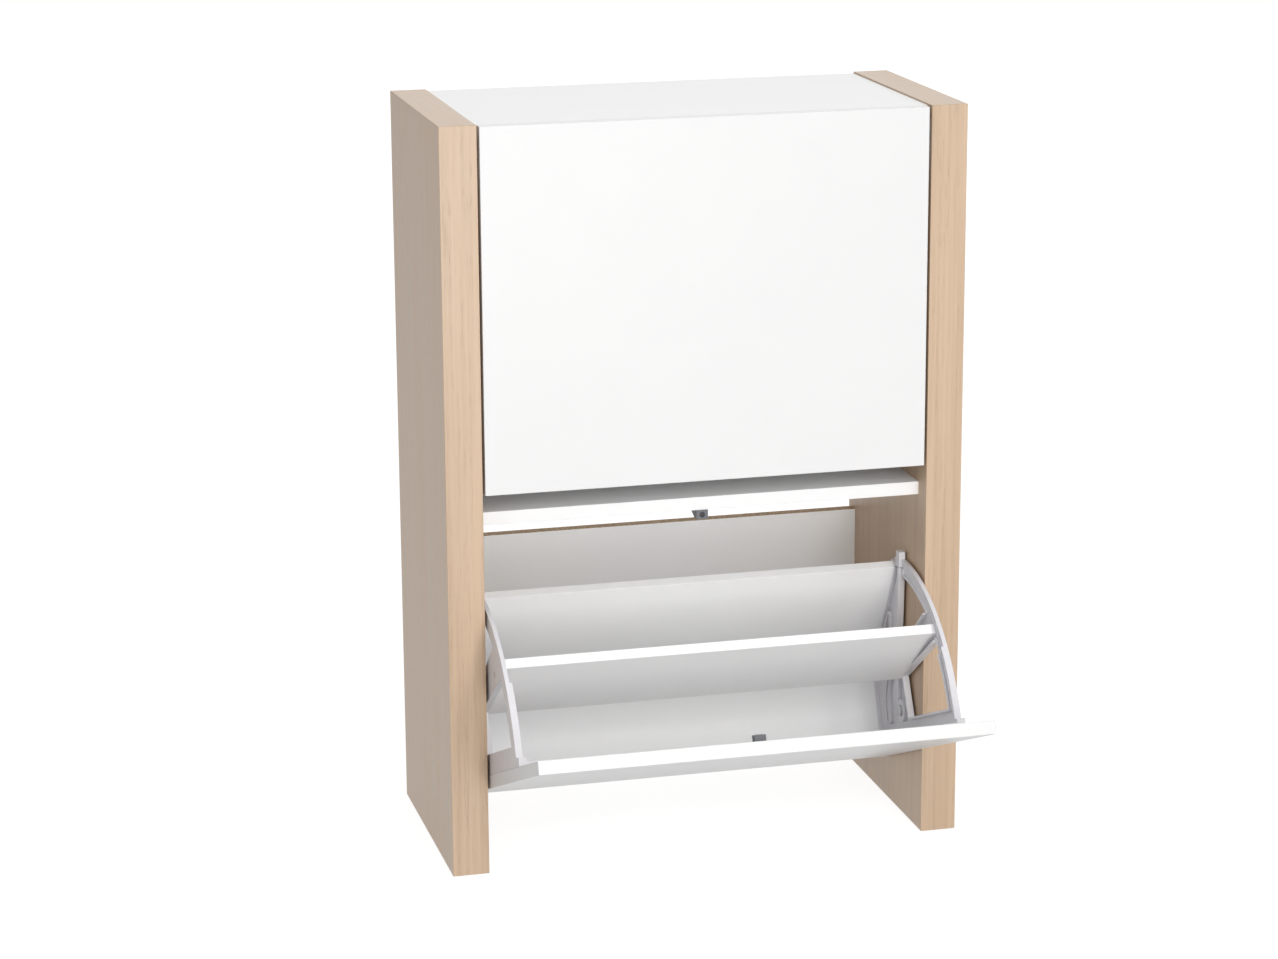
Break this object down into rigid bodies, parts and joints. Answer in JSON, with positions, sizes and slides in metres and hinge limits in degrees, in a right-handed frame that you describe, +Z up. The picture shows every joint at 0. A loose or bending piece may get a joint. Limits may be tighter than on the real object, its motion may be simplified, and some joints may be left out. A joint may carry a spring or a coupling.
{
  "type": "shoe cabinet",
  "caption": "Slim shoe cabinet with thick oak-effect side panels and white tilting flaps, each carrying slanted shoe rows on curved plastic brackets.",
  "frame": {"origin": "on the floor, under the middle of the carcase between the two side panels, halfway between their front and rear edges", "axes": "+X to the right seen from the front, +Y towards the wall, +Z up"},
  "size_m": [0.63, 0.5655, 0.9],
  "materials": {
    "oak_foil": "fine straight-grained oak-effect foil, satin",
    "white_board": "white laminated particle board, satin, raw tan core on the upper edge of the back rails",
    "white_door": "white laminated door panel, satin",
    "bracket_plastic": "moulded silver-grey plastic, semi-gloss",
    "catch_plastic": "moulded dark grey plastic, matt",
    "nylon": "natural nylon, matt",
    "zinc_steel": "zinc-plated steel",
    "magnet": "ferrite magnet, matt black",
    "beech": "fluted beech dowel"
  },
  "bodies": {
    "carcase": {"side_panel_left": "oak_foil", "side_panel_right": "oak_foil", "top_panel": "white_board", "middle_shelf": "white_board", "back_rail_upper": "white_board", "back_rail_lower": "white_board", "cam_locks": "zinc_steel", "cam_bolts": "zinc_steel", "wood_dowels": "beech", "pivot_bushes": "nylon", "stop_pins": "zinc_steel", "floor_glides": "nylon", "catch_bodies": "catch_plastic", "catch_magnets": "magnet", "catch_screws": "zinc_steel", "wall_brackets": "zinc_steel", "wall_bracket_screws": "zinc_steel"},
    "upper_flap": {"upper_door": "white_door", "upper_bracket_right": "bracket_plastic", "upper_bracket_left": "bracket_plastic", "upper_bracket_tabs": "bracket_plastic", "upper_mid_shelf": "white_board", "upper_back_shelf": "white_board", "upper_toe_board": "white_board", "upper_pivot_pins": "zinc_steel", "upper_board_screws": "zinc_steel", "upper_door_screws": "zinc_steel", "upper_strike_spacer": "catch_plastic", "upper_strike_plate": "zinc_steel"},
    "lower_flap": {"lower_door": "white_door", "lower_bracket_right": "bracket_plastic", "lower_bracket_left": "bracket_plastic", "lower_bracket_tabs": "bracket_plastic", "lower_mid_shelf": "white_board", "lower_back_shelf": "white_board", "lower_toe_board": "white_board", "lower_pivot_pins": "zinc_steel", "lower_board_screws": "zinc_steel", "lower_door_screws": "zinc_steel", "lower_strike_spacer": "catch_plastic", "lower_strike_plate": "zinc_steel"}
  },
  "joints": [
    {"name": "upper_flap_hinge", "type": "hinge", "parent": "carcase", "child": "upper_flap", "pos_m": [0, -0.099, 0.577], "axis": [1, 0, 0], "range_deg": [0, 68]},
    {"name": "lower_flap_hinge", "type": "hinge", "parent": "carcase", "child": "lower_flap", "pos_m": [0, -0.099, 0.143], "axis": [1, 0, 0], "range_deg": [-68, 0]}
  ]
}
